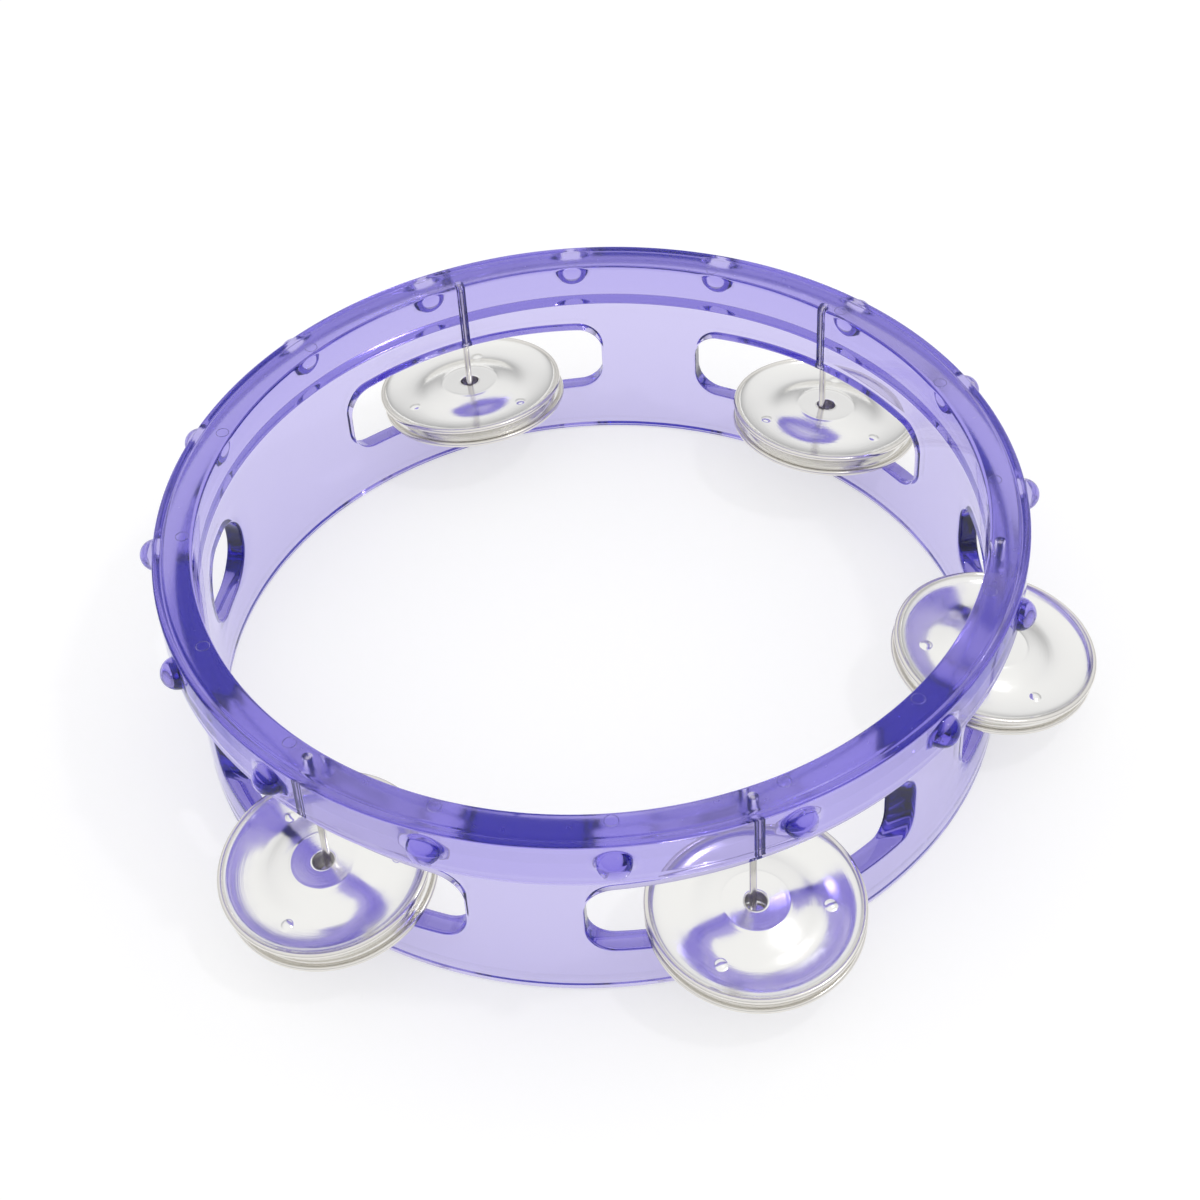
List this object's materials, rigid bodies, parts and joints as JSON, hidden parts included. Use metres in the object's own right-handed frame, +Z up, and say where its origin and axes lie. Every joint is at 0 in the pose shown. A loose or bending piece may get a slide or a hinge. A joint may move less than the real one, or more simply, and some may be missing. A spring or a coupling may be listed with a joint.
{
  "type": "tambourine",
  "caption": "Headless hand tambourine: a clear tinted plastic ring with a studded top hoop, a finger hole and slots where loose pressed metal discs ride on wire pins.",
  "frame": {"origin": "on the ring's axis, in the plane of its bottom rim", "axes": "+Z up the ring's axis to the studded hoop; +X to the jingle slot opposite the finger hole; -X to the finger hole"},
  "size_m": [0.1651, 0.1583, 0.0402],
  "materials": {
    "ring_plastic": "clear tinted moulded plastic, polished",
    "hoop_plastic": "clear tinted moulded plastic, polished",
    "pin_steel": "drawn wire",
    "disc_steel": "bright nickel plate over spun sheet, slightly hazy"
  },
  "bodies": {
    "frame": {"frame_ring": "ring_plastic", "top_hoop": "hoop_plastic", "jingle_pin_right": "pin_steel", "jingle_pin_rear_right": "pin_steel", "jingle_pin_rear_left": "pin_steel", "jingle_pin_front_left": "pin_steel", "jingle_pin_front_right": "pin_steel"},
    "lower_right": {"lower_disc_right": "disc_steel"},
    "upper_right": {"upper_disc_right": "disc_steel"},
    "lower_rear_right": {"lower_disc_rear_right": "disc_steel"},
    "upper_rear_right": {"upper_disc_rear_right": "disc_steel"},
    "lower_rear_left": {"lower_disc_rear_left": "disc_steel"},
    "upper_rear_left": {"upper_disc_rear_left": "disc_steel"},
    "lower_front_left": {"lower_disc_front_left": "disc_steel"},
    "upper_front_left": {"upper_disc_front_left": "disc_steel"},
    "lower_front_right": {"lower_disc_front_right": "disc_steel"},
    "upper_front_right": {"upper_disc_front_right": "disc_steel"}
  },
  "joints": [
    {"name": "lower_slide_right", "type": "slide", "parent": "frame", "child": "lower_right", "axis": [0, 0, 1], "range_m": [0, 0.0046]},
    {"name": "upper_slide_right", "type": "slide", "parent": "lower_right", "child": "upper_right", "axis": [0, 0, 1], "range_m": [0, 0.0046]},
    {"name": "lower_slide_rear_right", "type": "slide", "parent": "frame", "child": "lower_rear_right", "axis": [0, 0, 1], "range_m": [0, 0.0046]},
    {"name": "upper_slide_rear_right", "type": "slide", "parent": "lower_rear_right", "child": "upper_rear_right", "axis": [0, 0, 1], "range_m": [0, 0.0046]},
    {"name": "lower_slide_rear_left", "type": "slide", "parent": "frame", "child": "lower_rear_left", "axis": [0, 0, 1], "range_m": [0, 0.0046]},
    {"name": "upper_slide_rear_left", "type": "slide", "parent": "lower_rear_left", "child": "upper_rear_left", "axis": [0, 0, 1], "range_m": [0, 0.0046]},
    {"name": "lower_slide_front_left", "type": "slide", "parent": "frame", "child": "lower_front_left", "axis": [0, 0, 1], "range_m": [0, 0.0046]},
    {"name": "upper_slide_front_left", "type": "slide", "parent": "lower_front_left", "child": "upper_front_left", "axis": [0, 0, 1], "range_m": [0, 0.0046]},
    {"name": "lower_slide_front_right", "type": "slide", "parent": "frame", "child": "lower_front_right", "axis": [0, 0, 1], "range_m": [0, 0.0046]},
    {"name": "upper_slide_front_right", "type": "slide", "parent": "lower_front_right", "child": "upper_front_right", "axis": [0, 0, 1], "range_m": [0, 0.0046]}
  ]
}
